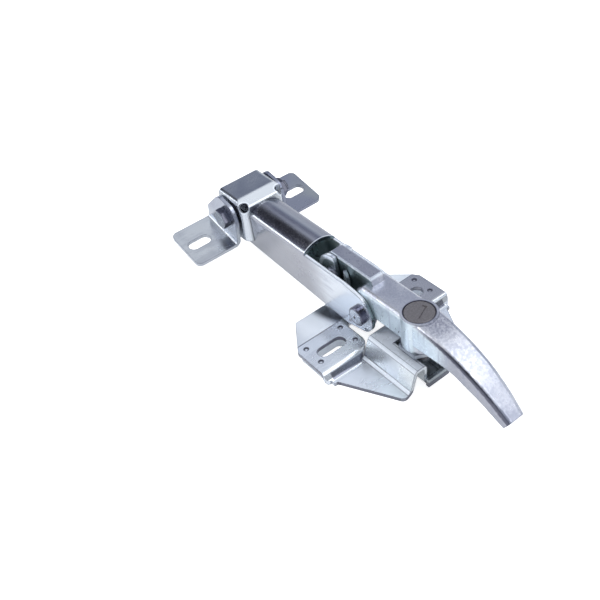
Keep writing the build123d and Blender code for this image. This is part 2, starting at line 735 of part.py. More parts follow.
write(base_bracket, "base_bracket")
write(near_backing_plate, "near_backing_plate")
write(far_backing_plate, "far_backing_plate")
write(base_pivot_pin, "base_pivot_pin")
write(handle, "handle")
write(lock_barrel, "lock_barrel")
write(lock_nut, "lock_nut")
write(lock_plug, "lock_plug")
write(lock_cam, "lock_cam")
write(cam_screw, "cam_screw")
write(arm_channel, "arm_channel")
write(hinge_cap, "hinge_cap")
write(near_link_rivet, "near_link_rivet")
write(far_link_rivet, "far_link_rivet")
write(near_keeper_foot, "near_keeper_foot")
write(far_keeper_foot, "far_keeper_foot")
write(hinge_sleeve, "hinge_sleeve")
write(hinge_bolt, "hinge_bolt")
write(hinge_nut, "hinge_nut")
write(near_hinge_washer, "near_hinge_washer")
write(far_hinge_washer, "far_hinge_washer")
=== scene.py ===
"""Over-centre hood latch: plated finishes by place, the hinge bolt's thread, studio stage and camera."""
import math

import bpy
from mathutils import Matrix, Vector


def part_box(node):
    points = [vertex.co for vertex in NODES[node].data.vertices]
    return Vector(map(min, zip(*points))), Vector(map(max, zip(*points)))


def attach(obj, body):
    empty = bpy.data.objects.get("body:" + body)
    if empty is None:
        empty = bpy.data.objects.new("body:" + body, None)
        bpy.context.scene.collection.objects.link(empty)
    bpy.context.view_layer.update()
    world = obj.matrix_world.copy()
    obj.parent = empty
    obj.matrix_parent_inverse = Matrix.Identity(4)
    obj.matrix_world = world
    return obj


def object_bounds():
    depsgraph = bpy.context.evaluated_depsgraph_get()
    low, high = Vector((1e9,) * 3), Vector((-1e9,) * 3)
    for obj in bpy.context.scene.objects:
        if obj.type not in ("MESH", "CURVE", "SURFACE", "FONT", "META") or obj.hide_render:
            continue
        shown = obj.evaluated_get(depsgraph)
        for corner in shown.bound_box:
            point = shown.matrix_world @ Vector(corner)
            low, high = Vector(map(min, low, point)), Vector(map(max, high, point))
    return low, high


bl_info = {
    "name": "Hood latch dressing",
    "version": (1, 0, 0),
    "blender": (4, 5, 0),
    "location": "View3D > Sidebar > Hood latch",
    "description": "Dresses the packed hood latch with plated finishes and sets its studio stage",
    "category": "Object",
}

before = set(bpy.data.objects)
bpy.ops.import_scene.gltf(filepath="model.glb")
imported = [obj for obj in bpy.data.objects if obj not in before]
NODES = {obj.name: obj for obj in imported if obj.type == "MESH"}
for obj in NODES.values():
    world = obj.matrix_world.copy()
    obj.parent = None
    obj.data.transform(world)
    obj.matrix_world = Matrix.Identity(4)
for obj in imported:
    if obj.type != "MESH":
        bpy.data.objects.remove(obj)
CAD_BOX = [list(corner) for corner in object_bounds()]


def span(name, axis):
    """Lowest and highest place of a node's mesh along one axis."""
    places = [vertex.co[axis] for vertex in NODES[name].data.vertices]
    return min(places), max(places)


def middle(name, axis):
    """Middle of a node's mesh along one axis."""
    return sum(span(name, axis)) / 2


def half_width(name, axis):
    """Half of a node's size along one axis."""
    low, high = span(name, axis)
    return (high - low) / 2


def colour_setting(name, description, default):
    """A base colour that a user can change."""
    return bpy.props.FloatVectorProperty(
        name=name, description=description, subtype="COLOR", size=3, min=0.0, max=1.0, default=default)


def length_setting(name, description, default, low, high):
    """A length in metres that a user can change."""
    return bpy.props.FloatProperty(
        name=name, description=description, subtype="DISTANCE", unit="LENGTH", min=low, max=high,
        default=default)


class LatchFinish(bpy.types.PropertyGroup):
    """Colours and surface sizes that a user would change."""

    sheet_colour: colour_setting(
        "Plated sheet", "Base colour of the zinc plated sheet metal", (0.78, 0.83, 0.90))
    casting_colour: colour_setting(
        "Plated casting", "Base colour of the cast handle", (0.63, 0.65, 0.71))
    lock_colour: colour_setting(
        "Lock face", "Base colour of the lock's turning face", (0.20, 0.19, 0.20))
    lock_mottle_colour: colour_setting(
        "Lock mottle", "Paler mottle on the lock's turning face", (0.30, 0.29, 0.30))
    # Random stain of the plating, and also painted shade high on the keeper's near ear and over its far foot
    stain_and_shade_colour: colour_setting(
        "Plate stain", "Colour of the darker clouds and streaks in the plating", (0.33, 0.36, 0.46))
    # Painted shade on the rear of the arm and its outer sides, and over the far pad
    rear_shade_colour: colour_setting(
        "Rear plate", "Duller plating on the rear of the arm and on the far pad", (0.37, 0.375, 0.42))
    # Near black painted shade: a speckled dark reflection on the arm's crown, the shadow round the lock,
    # dimple rings, sides and rims of heads, sheared rims, the grip's near edge
    deep_shade_colour: colour_setting(
        "Burnt plate", "Near black plating in streaks, round joints and on sheared rims", (0.09, 0.09, 0.13))
    tint_colour: colour_setting(
        "Passivation tint", "Faint yellow green tint of the passivated plating", (0.60, 0.65, 0.57))
    # Painted reflection: paler, greener sides of the handle
    side_light_colour: colour_setting(
        "Casting sides", "Paler, greener plating on the handle's sides", (0.70, 0.81, 0.87))
    # Darker patch in front of the lock; painted shade on the tongue's top and the tip's end
    patch_and_shade_colour: colour_setting(
        "Dull patch", "Duller plating in front of the lock, on the tongue and on the tip", (0.24, 0.25, 0.32))
    # Painted shade on the sides of the grip
    grip_side_shade_colour: colour_setting(
        "Grip sides", "Greyer plating on the sides of the grip", (0.36, 0.37, 0.43))
    # Painted highlight on the wings, ribs, bends, rims, crests and the arm's front
    highlight_colour: colour_setting(
        "Frosted plate", "Pale blue plating on the wings, ribs, bends and rims", (0.86, 0.92, 1.00))
    # Painted shade in the trough, deep in the arm, on the window's cut face, the ears' faces and the tongue's
    # sides
    pocket_shade_colour: colour_setting(
        "Pockets", "Dark green tinge in the trough, in the arm and beside the tongue", (0.12, 0.17, 0.18))
    inside_colour: colour_setting(
        "Inside of the arm", "Pale green plating inside the folded arm", (0.52, 0.64, 0.64))
    # Painted shade on the far half of the arm's crown
    crown_shade_colour: colour_setting(
        "Far crown", "Darker blue plating on the far half of the arm's crown", (0.12, 0.14, 0.22))
    # Painted shade along edges, in creases, by the arm, on the step, the brinks of bends and on slot walls
    edge_shade_colour: colour_setting(
        "Edge plate", "Darker plating along edges, in creases and on slot walls", (0.11, 0.12, 0.17))
    # Width of the painted shade along edges
    edge_width: length_setting(
        "Edge width", "Width of the darker plating along edges", 0.0010, 0.0, 0.003)
    edge_radius: length_setting(
        "Edge round", "Radius that the light sees along edges", 0.0006, 0.0, 0.003)


class LatchThread(bpy.types.PropertyGroup):
    """Thread on the hinge bolt's far end, past the nut."""

    pitch: length_setting(
        "Pitch", "Distance from one turn of the thread to the next", 0.00125, 0.0005, 0.003)
    root: length_setting(
        "Root radius", "Radius that the thread rises from, just inside the bolt's surface",
        0.0039, 0.001, 0.02)
    crest: length_setting(
        "Crest radius", "Radius of the thread's crest", 0.0042, 0.001, 0.02)


class LatchStage(bpy.types.PropertyGroup):
    """Camera, lamps and floor."""

    eye: bpy.props.FloatVectorProperty(
        name="Camera place", description="Camera position in the latch's own frame",
        subtype="TRANSLATION", unit="LENGTH", size=3, default=(0.29625, -0.2289, 0.3678))
    look: bpy.props.FloatVectorProperty(
        name="Viewing direction", description="Direction that the camera looks in",
        subtype="DIRECTION", size=3, default=(-0.6396, 0.3847, -0.6655))
    head_up: bpy.props.FloatVectorProperty(
        name="Up direction", description="Direction that is up in the picture",
        subtype="DIRECTION", size=3, default=(-0.4768, 0.4806, 0.7360))
    lens: bpy.props.FloatProperty(
        name="Lens", description="Focal length on a sensor 36 mm wide",
        min=10.0, max=300.0, default=47.96)
    key_power: bpy.props.FloatProperty(
        name="Lamp power", description="Power in watts that each lamp takes its share of",
        unit="POWER", min=0.0, max=200.0, default=3.2)
    sky_level: bpy.props.FloatProperty(
        name="Sky level", description="Strength of the room's light",
        min=0.0, max=2.0, default=1.0)
    floor_size: length_setting(
        "Floor size", "Side of the square floor", 16.0, 1.0, 40.0)


class Flow:
    """A shader socket that takes Python arithmetic and adds Math nodes for it."""

    def __init__(self, nodes, socket):
        self.nodes = nodes
        self.socket = socket

    def _math(self, operation, first, second):
        return self.nodes.node("ShaderNodeMath", {"operation": operation}, {0: first, 1: second})

    def __add__(self, other):
        return self._math("ADD", self, other)

    __radd__ = __add__

    def __sub__(self, other):
        return self._math("SUBTRACT", self, other)

    def __rsub__(self, other):
        return self._math("SUBTRACT", other, self)

    def __mul__(self, other):
        return self._math("MULTIPLY", self, other)

    __rmul__ = __mul__

    def power(self, other):
        return self._math("POWER", self, other)

    def clamped(self):
        return self.nodes.node("ShaderNodeClamp", {}, {0: self})


class NodeTree:
    """A node tree being built, with its output and the coordinates that it works in."""

    def __init__(self, tree, output, coordinates):
        self.tree = tree
        self.tree.nodes.clear()
        self.output = self.tree.nodes.new(output)
        self.place = self.node("ShaderNodeTexCoord", {}, {}, coordinates)

    def node(self, kind, settings, inputs, out=0):
        """Adds a node: its settings first, then the values or links of its sockets."""
        made = self.tree.nodes.new(kind)
        for key, value in settings.items():
            if key == "stops":
                ramp = made.color_ramp
                while len(ramp.elements) < len(value):
                    ramp.elements.new(1.0)
                for element, (position, colour) in zip(ramp.elements, value):
                    element.position = position
                    element.color = colour
            else:
                setattr(made, key, value)
        for key, value in inputs.items():
            socket = made.inputs[key]
            if isinstance(value, Flow):
                self.tree.links.new(value.socket, socket)
            else:
                socket.default_value = value
        return Flow(self, made.outputs[out])

    def noise(self, scale, detail=3.0, roughness=0.55, stretch=(1.0, 1.0, 1.0), distortion=0.0):
        """Cloudy noise from 0 to 1, with its size in metres given by 1 / scale."""
        where = self.node("ShaderNodeMapping", {}, {"Vector": self.place, "Scale": stretch})
        return self.node(
            "ShaderNodeTexNoise", {"noise_dimensions": "3D"},
            {"Vector": where, "Scale": scale, "Detail": detail, "Roughness": roughness,
             "Distortion": distortion}, "Fac")

    def ramp(self, value, low, high):
        """Runs from 0 at low to 1 at high."""
        return self.node(
            "ShaderNodeMapRange", {"interpolation_type": "SMOOTHSTEP", "clamp": True},
            {"Value": value, "From Min": low, "From Max": high, "To Min": 0.0, "To Max": 1.0})

    def before(self, value, full, none):
        """Runs from 1 at full to 0 at none."""
        return 1.0 - self.ramp(value, full, none)

    def between(self, value, rise, fall):
        """Rises from 0 to 1 over the first pair of values and falls back to 0 over the second."""
        return self.ramp(value, *rise) * self.before(value, *fall)

    def ragged(self, value, noise, reach):
        """A place whose borders wander with a noise, over the distance reach."""
        return value + (noise - 0.5) * reach

    def absolute(self, value):
        return self.node("ShaderNodeMath", {"operation": "ABSOLUTE"}, {0: value})

    def parts(self, vector):
        """The X, Y and Z parts of a vector."""
        return [self.node("ShaderNodeSeparateXYZ", {}, {"Vector": vector}, name) for name in "XYZ"]

    def distance(self, *parts):
        """Length of a vector that is given by its parts."""
        return sum(part * part for part in parts).power(0.5)

    def agreement(self, first, second):
        """Cosine of the angle between two unit vectors."""
        return self.node("ShaderNodeVectorMath", {"operation": "DOT_PRODUCT"}, {0: first, 1: second}, "Value")

    def mix(self, share, first, second):
        """Colour mix of first and second."""
        return self.node(
            "ShaderNodeMix", {"data_type": "RGBA", "blend_type": "MIX"},
            {"Factor": share, 6: first, 7: second}, 2)

    def paint(self, base, mask, colour, share=1.0):
        """Lays a colour over base where the mask is 1, by the share given."""
        return self.mix(mask * share, base, rgba(colour))

    def connect(self, shader):
        """Links a shader to the tree's output."""
        self.tree.links.new(shader.socket, self.output.inputs["Surface"])


class Finish(NodeTree):
    """One material being built, in the coordinates of the piece that it is on."""

    def __init__(self, name):
        self.material = bpy.data.materials.new(name)
        self.material.use_nodes = True
        super().__init__(self.material.node_tree, "ShaderNodeOutputMaterial", "Object")

    def facing(self, kind="Normal"):
        """Direction that a face looks in, in the piece's own frame, so that it holds at every pose."""
        in_world = self.node("ShaderNodeNewGeometry", {}, {}, kind)
        return self.node(
            "ShaderNodeVectorTransform",
            {"vector_type": "NORMAL", "convert_from": "WORLD", "convert_to": "OBJECT"}, {"Vector": in_world})

    def rounded(self, radius, samples=6):
        """Normals that round the edges over a radius."""
        return self.node("ShaderNodeBevel", {"samples": samples}, {"Radius": radius})

    def edges(self, width):
        """1 along an edge and 0 on open faces, from how far a rounded normal leans from the face's own."""
        flat = self.node("ShaderNodeNewGeometry", {}, {}, "True Normal")
        return self.before(self.agreement(flat, self.rounded(width)), 0.88, 0.995)

    def metal(self, base, metallic, rough, relief, strength, depth, normal):
        """The finished material: a metal with a fine relief on it."""
        bump = self.node("ShaderNodeBump", {}, {
            "Strength": strength, "Distance": depth, "Height": relief, "Normal": normal})
        self.connect(self.node("ShaderNodeBsdfPrincipled", {}, {
            "Base Color": base, "Metallic": metallic, "Roughness": rough, "Normal": bump}, "BSDF"))
        return self.material


def rgba(colour):
    """A colour with full alpha."""
    return (colour[0], colour[1], colour[2], 1.0)


def toned(colour, shade_tone):
    """A colour made darker or lighter by one factor."""
    return [part * shade_tone for part in colour]


def plated_sheet(finish, name, along, darkness=0.35, gloss=0.18, colour=None, shade_tone=1.0, metal=1.0,
                 local=None):
    """Bright zinc plate on rolled sheet: clouds, rolling streaks and a faint tint, then what is local, then
    painted shade along the edges.

    along is the axis of the rolling streaks, as 0, 1 or 2. The tone factor darkens every colour of the
    finish: painted shade over the whole part.
    """
    made = Finish(name)
    stretch = [1.0, 1.0, 1.0]
    stretch[along] = 0.10
    clouds = made.noise(38.0, detail=4.0, distortion=0.4)
    streaks = made.noise(420.0, detail=5.0, stretch=tuple(stretch))
    grain = made.noise(2600.0, detail=2.0)
    stain = made.ramp(clouds * 0.65 + streaks * 0.35, 0.46, 0.66)
    tinted = made.ramp(made.noise(24.0, detail=2.0), 0.52, 0.72)
    base = made.paint(rgba(toned(colour or finish.sheet_colour, shade_tone)), stain,
                      toned(finish.stain_and_shade_colour, shade_tone), share=darkness)
    base = made.paint(base, tinted, toned(finish.tint_colour, shade_tone), share=0.28)
    if local:
        base, metal = local(made, finish, base, metal, clouds, streaks)
    # Painted shade along the edges
    base = made.paint(base, made.edges(finish.edge_width), finish.edge_shade_colour, share=0.85)
    rough = gloss + made.ramp(clouds, 0.35, 0.70) * 0.10 + streaks * 0.05
    return made.metal(base, metal, rough, grain * 0.3 + streaks * 0.7, strength=0.10, depth=0.0001,
                      normal=made.rounded(finish.edge_radius))


# Borders on the arm in metres: a pair is where a border starts and where it ends
ARM_REAR_SHADE = (-0.048, -0.022)
ARM_PALE_FRONT = (-0.0330, -0.0270)
ARM_TOP = (0.0440, 0.0450)
ARM_STREAK = ((-0.0122, -0.0105), (-0.0075, -0.0015))
ARM_BLUE = (-0.0005, 0.0095)
ARM_INSIDE_TOP = (0.0440, 0.0455)
ARM_INSIDE_WALL = (0.0118, 0.0124)
ARM_DEPTH = (0.0340, 0.0420)
ARM_OUTSIDE = (0.0140, 0.0144)
ARM_WINDOW = -0.0485
WINDOW_SHADE = (ARM_WINDOW - 0.012, ARM_WINDOW - 0.004)
WINDOW_CUT = (ARM_WINDOW - 0.003, ARM_WINDOW - 0.002)
WINDOW_RIM = ((ARM_WINDOW - 0.0010, ARM_WINDOW - 0.0006), (ARM_WINDOW + 0.0020, ARM_WINDOW + 0.0025))
WINDOW_FLANGES = (ARM_WINDOW, ARM_WINDOW + 0.001)


def arm_local(made, finish, base, metal, clouds, streaks):
    """Painted shade on the rear, a speckled painted dark reflection on the near half and blue painted shade
    on the far half of the crown, painted light on the front end, painted highlight on the window rim.
    """
    along, sideways, above = made.parts(made.place)
    across = made.absolute(sideways)
    ahead, _, upward = made.parts(made.facing("True Normal"))
    # Painted shade over the rear of the arm
    rear = made.before(made.ragged(along, clouds, 0.03), *ARM_REAR_SHADE)
    base = made.paint(base, rear, finish.rear_shade_colour, share=0.85)

    # Crown: speckled painted dark reflection on the near half, blue painted shade on the far half
    on_top = made.ramp(above, *ARM_TOP)
    drift = made.ragged(sideways, streaks, 0.003)
    specks = made.ramp(made.noise(1500.0, detail=2.0), 0.34, 0.50)
    speckled_reflection = made.between(drift, *ARM_STREAK) * specks * on_top
    base = made.paint(base, speckled_reflection, finish.deep_shade_colour, share=0.92)
    base = made.paint(base, made.ramp(drift, *ARM_BLUE) * on_top, finish.crown_shade_colour, share=0.65)

    # Inside, with painted shade low down behind the window
    inside = made.before(above, *ARM_INSIDE_TOP) * made.before(across, *ARM_INSIDE_WALL)
    base = made.paint(base, inside, finish.inside_colour, share=0.8)
    deep = inside * made.before(above, *ARM_DEPTH) * made.ramp(along, *WINDOW_SHADE)
    base = made.paint(base, deep, finish.pocket_shade_colour, share=0.8)

    # Outer sides: painted shade at the rear, painted light at the front
    outside = made.ramp(across, *ARM_OUTSIDE)
    front = made.ramp(made.ragged(along, clouds, 0.006), *ARM_PALE_FRONT)
    base = made.paint(base, outside * (1.0 - front), finish.rear_shade_colour, share=0.55)
    pale = outside * front
    base = made.paint(base, pale, finish.highlight_colour, share=0.75)

    # Window: painted shade on the sheared face, painted highlight on the rim and on the tops of the flanges
    # in front of it
    cut = made.ramp(ahead, 0.60, 0.80) * made.ramp(along, *WINDOW_CUT)
    base = made.paint(base, cut, finish.pocket_shade_colour, share=0.75)
    rim = made.between(along, *WINDOW_RIM) * on_top * (1.0 - cut)
    tops = made.ramp(upward, 0.80, 0.95) * made.ramp(along, *WINDOW_FLANGES)
    bright = (rim + tops).clamped()
    base = made.paint(base, bright, finish.highlight_colour)
    return base, 1.0 - (bright * 0.6 + inside * 0.5 + pale * 0.45).clamped()


# Borders on the base in metres: a pair is where a border starts and where it ends
CREASE_X = -0.0145
CREASE = ((CREASE_X - 0.0007, CREASE_X - 0.0001), (CREASE_X + 0.0001, CREASE_X + 0.0007))
CREASE_INNER = (0.0135, 0.0150)
WING_LENGTH = (CREASE_X - 0.0004, CREASE_X)
WING_INNER = (0.0150, 0.0240)
WING_OUTER = (0.0300, 0.0500)
WING_BY_ARM = (0.0095, 0.0110)
WING_BY_ARM_END = (0.0150, 0.0215)
PAD_LENGTH = ((CREASE_X, CREASE_X + 0.0010), (0.0135, 0.0145))
PAD_FRONT = (0.0145, 0.0155)
PAD_INNER = (0.0150, 0.0160)
PAD_TOP = (0.0050, 0.0070)
FAR_PAD = (0.0140, 0.0180)
SLOT_HALF_WIDTH = (0.0050, 0.0056)
SLOT_ACROSS = ((0.0215, 0.0220), (0.0446, 0.0450))
STEP_ACROSS = ((0.0200, 0.0220), (0.0470, 0.0480))
STEP_TOP = (0.0062, 0.0072)
STEP_FRONT = (0.0225, 0.0235)
FRONT_PART = (0.0150, 0.0170)
RIB_TOP = (0.0150, 0.0165)
APRON_TOP = (0.0035, 0.0045)
APRON_REAR = (0.0200, 0.0220)
TROUGH_REAR = (0.0290, 0.0300)
TROUGH_WALL = (0.0074, 0.0080)
TROUGH_TOP = (0.0140, 0.0160)
EAR_FOOT = (0.0200, 0.0240)
EAR_OUTER = (0.0085, 0.0090)
EAR_FRONT = (-0.0100, -0.0080)
# Ears round the base's pin at (x, z): radii where the painted shade on the face ends and where the painted
# highlight on the rim starts
PIN = (-0.0254, 0.0370)
EAR_FACE = (0.0108, 0.0122)
EAR_RIM = (0.0124, 0.0132)
# Dimples as (x, distance from the middle), and the radii of the painted shade ring in each
DIMPLES = tuple((x, y) for x in (-0.0095, 0.0055) for y in (0.0186, 0.0465))
DIMPLE_RING = ((0.0005, 0.0011), (0.0016, 0.0021))
# Sideways part of a face's direction: in the bends, and at the two brinks of a bend
BEND_LEAN = ((0.15, 0.30), (0.78, 0.90))
BRINK_LEANS = (((0.04, 0.12), (0.16, 0.26)), ((0.84, 0.90), (0.91, 0.94)))


def base_local(made, finish, base, metal, clouds, streaks):
    """Painted highlight on the wings, ribs, bends, apron and ear rims; painted shade in creases, on rims,
    slot walls, step and trough, on the ears' faces, the far pad and as rings in the dimples.
    """
    along, sideways, above = made.parts(made.place)
    across = made.absolute(sideways)
    ahead, leaning, upward = made.parts(made.facing())
    lean = made.absolute(leaning)

    # Painted highlight, pale and less metallic, on the wings, rib tops, bends and apron
    behind = made.before(along, *WING_LENGTH)
    in_front = made.ramp(along, *FRONT_PART)
    faded = made.ramp(made.ragged(across, clouds, 0.01), *WING_OUTER) * 0.75
    wing = behind * made.ramp(across, *WING_INNER) * (1.0 - faded)
    rib = made.ramp(above, *RIB_TOP) * in_front * made.before(ahead, 0.5, 0.8)
    bend = made.between(lean, *BEND_LEAN) * in_front
    apron = made.before(above, *APRON_TOP) * made.ramp(along, *APRON_REAR)
    painted_highlight = (wing + rib + bend + apron * 0.30).clamped()
    base = made.paint(base, painted_highlight, finish.highlight_colour)

    # Painted shade on the wing roots by the arm, the brinks of the bends, the trough, the step and the
    # creases
    by_arm = behind * made.ramp(across, *WING_BY_ARM) * made.before(
        made.ragged(across, clouds, 0.003), *WING_BY_ARM_END)
    base = made.paint(base, by_arm, finish.edge_shade_colour, share=0.8)
    brink = sum(made.between(lean, *leans) for leans in BRINK_LEANS) * in_front
    base = made.paint(base, brink, finish.edge_shade_colour, share=0.55)
    trough = made.ramp(along, *TROUGH_REAR) * made.before(across, *TROUGH_WALL) * made.before(
        above, *TROUGH_TOP)
    base = made.paint(base, trough, finish.pocket_shade_colour, share=0.6)
    step = (made.ramp(ahead, 0.25, 0.45) * made.between(across, *STEP_ACROSS)
            * made.before(above, *STEP_TOP) * made.before(along, *STEP_FRONT))
    base = made.paint(base, step, finish.edge_shade_colour, share=0.85)
    crease = made.between(along, *CREASE) * made.ramp(across, *CREASE_INNER)
    base = made.paint(base, crease, finish.edge_shade_colour, share=0.8)

    # Painted shade on slot walls, and on the sheared rims of pads, wings and apron
    upright = made.before(made.absolute(upward), 0.30, 0.60)
    slot = (upright * made.before(made.absolute(along), *SLOT_HALF_WIDTH)
            * made.between(across, *SLOT_ACROSS))
    base = made.paint(base, slot, finish.edge_shade_colour, share=0.7)
    flat_part = (made.before(along, *PAD_FRONT) * made.ramp(across, *PAD_INNER) + apron).clamped()
    base = made.paint(base, upright * flat_part, finish.deep_shade_colour, share=0.75)

    # Far pad: painted shade, darker than the near one
    far_pad_shade = (made.ramp(sideways, *FAR_PAD) * made.ramp(above, *PAD_TOP)
            * made.between(along, *PAD_LENGTH))
    base = made.paint(base, far_pad_shade, finish.rear_shade_colour, share=0.75)

    # Ears: painted shade on the faces, painted highlight on the rim
    reach = made.distance(along - PIN[0], above - PIN[1])
    ear = made.ramp(above, *EAR_FOOT) * made.before(across, *EAR_OUTER) * made.before(along, *EAR_FRONT)
    base = made.paint(base, ear * made.before(reach, *EAR_FACE), finish.pocket_shade_colour, share=0.8)
    base = made.paint(base, ear * made.ramp(reach, *EAR_RIM), finish.highlight_colour, share=0.7)

    # Painted shade as a ring in each dimple
    for x, y in DIMPLES:
        ring = made.between(made.distance(along - x, across - y), *DIMPLE_RING)
        base = made.paint(base, ring, finish.deep_shade_colour, share=0.75)
    return base, metal - wing * 0.75 - bend * 0.55 - rib * 0.65 - apron * 0.15


def turned_local(made, finish, base, metal, clouds, streaks):
    """Painted shade on the sides of a head that stands across the latch."""
    _, leaning, _ = made.parts(made.facing())
    sides = made.before(made.absolute(leaning), 0.75, 0.97)
    return made.paint(base, sides, finish.deep_shade_colour, share=0.85), metal


# Link rivets: their middle as (x, z), and where the painted shade rim round the head's face starts and is
# full
RIVET = (middle("near_link_rivet", 0), middle("near_link_rivet", 2))
RIVET_RIM = [half_width("near_link_rivet", 0) * share for share in (0.72, 0.86)]


def rivet_local(made, finish, base, metal, clouds, streaks):
    """A turned head with a rim of painted shade round its face."""
    base, metal = turned_local(made, finish, base, metal, clouds, streaks)
    along, _, above = made.parts(made.place)
    rim = made.ramp(made.distance(along - RIVET[0], above - RIVET[1]), *RIVET_RIM)
    return made.paint(base, rim, finish.deep_shade_colour, share=0.8), metal


# Heights between which painted shade grows on the keeper's near ear, in metres
EAR_SHADE = (0.0220, 0.0420)


def foot_local(made, finish, base, metal, clouds, streaks):
    """Painted shade, darker towards the top of the ear."""
    _, _, above = made.parts(made.place)
    high = made.ramp(made.ragged(above, clouds, 0.01), *EAR_SHADE)
    return made.paint(base, high, finish.stain_and_shade_colour, share=0.55), metal


# Relief holes of the cap as (x, distance from the middle, z), and the rim's outer radii, in metres
RELIEF = (-0.1132, 0.0153, 0.0498)
RELIEF_RIM = (0.0041, 0.0049)


def cap_local(made, finish, base, metal, clouds, streaks):
    """Painted highlight on the rims round the relief holes and along the round of the front edge."""
    along, sideways, above = made.parts(made.place)
    apart = made.distance(along - RELIEF[0], made.absolute(sideways) - RELIEF[1], above - RELIEF[2])
    rim = made.before(apart, *RELIEF_RIM)
    ahead, _, _ = made.parts(made.facing())
    lip = made.between(ahead, (0.15, 0.35), (0.85, 0.95))
    painted_highlight = (rim * 0.8 + lip * 0.6).clamped()
    return made.paint(base, painted_highlight, finish.highlight_colour), 1.0 - painted_highlight * 0.5


# The lock's axis and the radius of its face, from the frame
LOCK_X = middle("lock_plug", 0)
LOCK_FACE = half_width("lock_plug", 0)
LOCK_JOINT = (LOCK_FACE + 0.0004, LOCK_FACE + 0.0010)
# Borders on the handle in metres: a pair is where a border starts and where it ends
GRIP_START = (0.062, 0.085)
GRIP_EDGE_START = (0.052, 0.072)
TONGUE_WALL = (0.0054, 0.0062)
TONGUE_TOP = (0.0505, 0.0515)
TONGUE_CREST = (0.0500, 0.0508)
TONGUE_SIDE_EDGE = (0.0040, 0.0043)
TONGUE_FRONT_EDGE = ((0.0074, 0.0078), (0.0088, 0.0092))
TIP = (0.110, 0.114)
DULL_PATCH = (LOCK_X + 0.0155, 0.001)
DULL_PATCH_RADII = (0.003, 0.014)


def plated_casting(finish, name):
    """Satin zinc plate over a tumbled casting: mottled and streaked down its sides, with painted light and
    shade on its sides, tongue, grip edge and tip, and a painted shadow round the lock.
    """
    made = Finish(name)
    clouds = made.noise(55.0, detail=4.0, distortion=0.3)
    mottle = made.noise(620.0, detail=4.0)
    grain = made.noise(2400.0, detail=3.0)
    along, sideways, above = made.parts(made.place)
    across = made.absolute(sideways)
    ahead, lean, _ = made.parts(made.facing())
    stain = made.ramp(clouds * 0.5 + mottle * 0.5, 0.42, 0.62)
    base = made.paint(rgba(finish.casting_colour), stain, finish.stain_and_shade_colour, share=0.55)

    # Sides: painted reflection, paler and greener, and painted shade, greyer, along the grip
    side = made.ramp(lean * lean, 0.60, 0.90)
    on_grip = made.ramp(made.ragged(along, clouds, 0.02), *GRIP_START)
    painted_side_light = made.mix(on_grip, rgba(finish.side_light_colour), rgba(finish.grip_side_shade_colour))
    base = made.mix(side * 0.75, base, painted_side_light)

    # Tongue: painted shade on the sides and the top, painted highlight on the edges
    base = made.paint(base, made.before(across, *TONGUE_WALL) * side, finish.pocket_shade_colour, share=0.85)
    base = made.paint(base, made.ramp(above, *TONGUE_TOP), finish.patch_and_shade_colour, share=0.45)
    edge = made.ramp(across, *TONGUE_SIDE_EDGE) + made.between(along, *TONGUE_FRONT_EDGE)
    crest = (made.ramp(above, *TONGUE_CREST) * edge).clamped()
    base = made.paint(base, crest, finish.highlight_colour, share=0.9)

    # Runs down the sides; painted shade on the round of the grip's near top edge and on the end of the tip
    runs = made.ramp(made.noise(170.0, detail=3.0, stretch=(1.0, 1.0, 0.10)), 0.54, 0.70)
    base = made.paint(base, runs * side, finish.stain_and_shade_colour, share=0.55)
    near_edge = made.between(lean * -1.0, (0.30, 0.55), (0.90, 0.97))
    base = made.paint(base, near_edge * made.ramp(along, *GRIP_EDGE_START), finish.deep_shade_colour, share=0.85)
    end = made.ramp(ahead, 0.55, 0.80) * made.ramp(along, *TIP)
    base = made.paint(base, end, finish.patch_and_shade_colour, share=0.75)

    # Painted shadow in the joint round the lock's face, and the darker patch in front of it
    joint = made.before(made.distance(along - LOCK_X, sideways), *LOCK_JOINT)
    base = made.paint(base, joint, finish.deep_shade_colour)
    from_patch = made.distance(along - DULL_PATCH[0], sideways - DULL_PATCH[1])
    patch = made.before(made.ragged(from_patch, clouds, 0.014), *DULL_PATCH_RADII)
    base = made.paint(base, patch * (0.35 + made.ramp(mottle, 0.40, 0.60) * 0.5), finish.patch_and_shade_colour)

    # Painted shade along the edges
    base = made.paint(base, made.edges(finish.edge_width), finish.edge_shade_colour, share=0.5)
    rough = 0.24 + made.ramp(mottle, 0.3, 0.7) * 0.14 + grain * 0.05
    return made.metal(base, 1.0, rough, grain * 0.5 + mottle * 0.5, strength=0.26, depth=0.00018,
                      normal=made.rounded(finish.edge_radius * 1.2))


def lock_metal(finish, name):
    """Dull turned face of the lock."""
    made = Finish(name)
    mottle = made.ramp(made.noise(900.0, detail=3.0), 0.35, 0.65)
    grain = made.noise(3200.0, detail=2.0)
    base = made.paint(rgba(finish.lock_colour), mottle, finish.lock_mottle_colour, share=0.5)
    return made.metal(base, 1.0, 0.40 + grain * 0.15, grain, strength=0.12, depth=0.0001,
                      normal=made.rounded(finish.edge_radius * 0.6, samples=4))


def dress(names, material):
    """Gives CAD nodes their finish; names that this latch lacks are an error."""
    for name in names:
        mesh = NODES[name].data
        mesh.materials.clear()
        mesh.materials.append(material)


